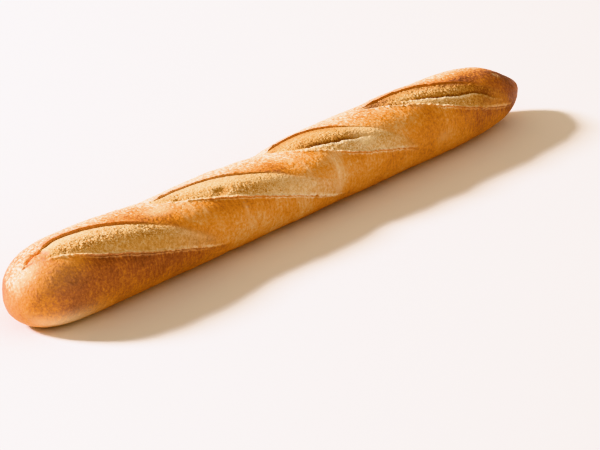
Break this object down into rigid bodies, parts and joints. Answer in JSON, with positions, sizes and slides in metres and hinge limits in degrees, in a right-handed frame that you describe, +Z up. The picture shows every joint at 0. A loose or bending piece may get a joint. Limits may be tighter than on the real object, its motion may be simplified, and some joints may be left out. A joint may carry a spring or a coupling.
{
  "type": "baguette",
  "caption": "Long round-ended loaf of white bread with a flat base, a browned crust and slanting slashes that opened in the oven along its crown.",
  "frame": {"origin": "on the flat base, under the middle of the loaf", "axes": "+X along the loaf, from the blunter end to the more tapered one, +Y across it to the side without slashes, +Z up"},
  "size_m": [0.56, 0.0668, 0.0555],
  "materials": {
    "crust": "dry golden-brown crust with a dusting of flour, paler and rougher where the slashes opened"
  },
  "bodies": {
    "root": {"baguette": "crust"}
  },
  "joints": []
}
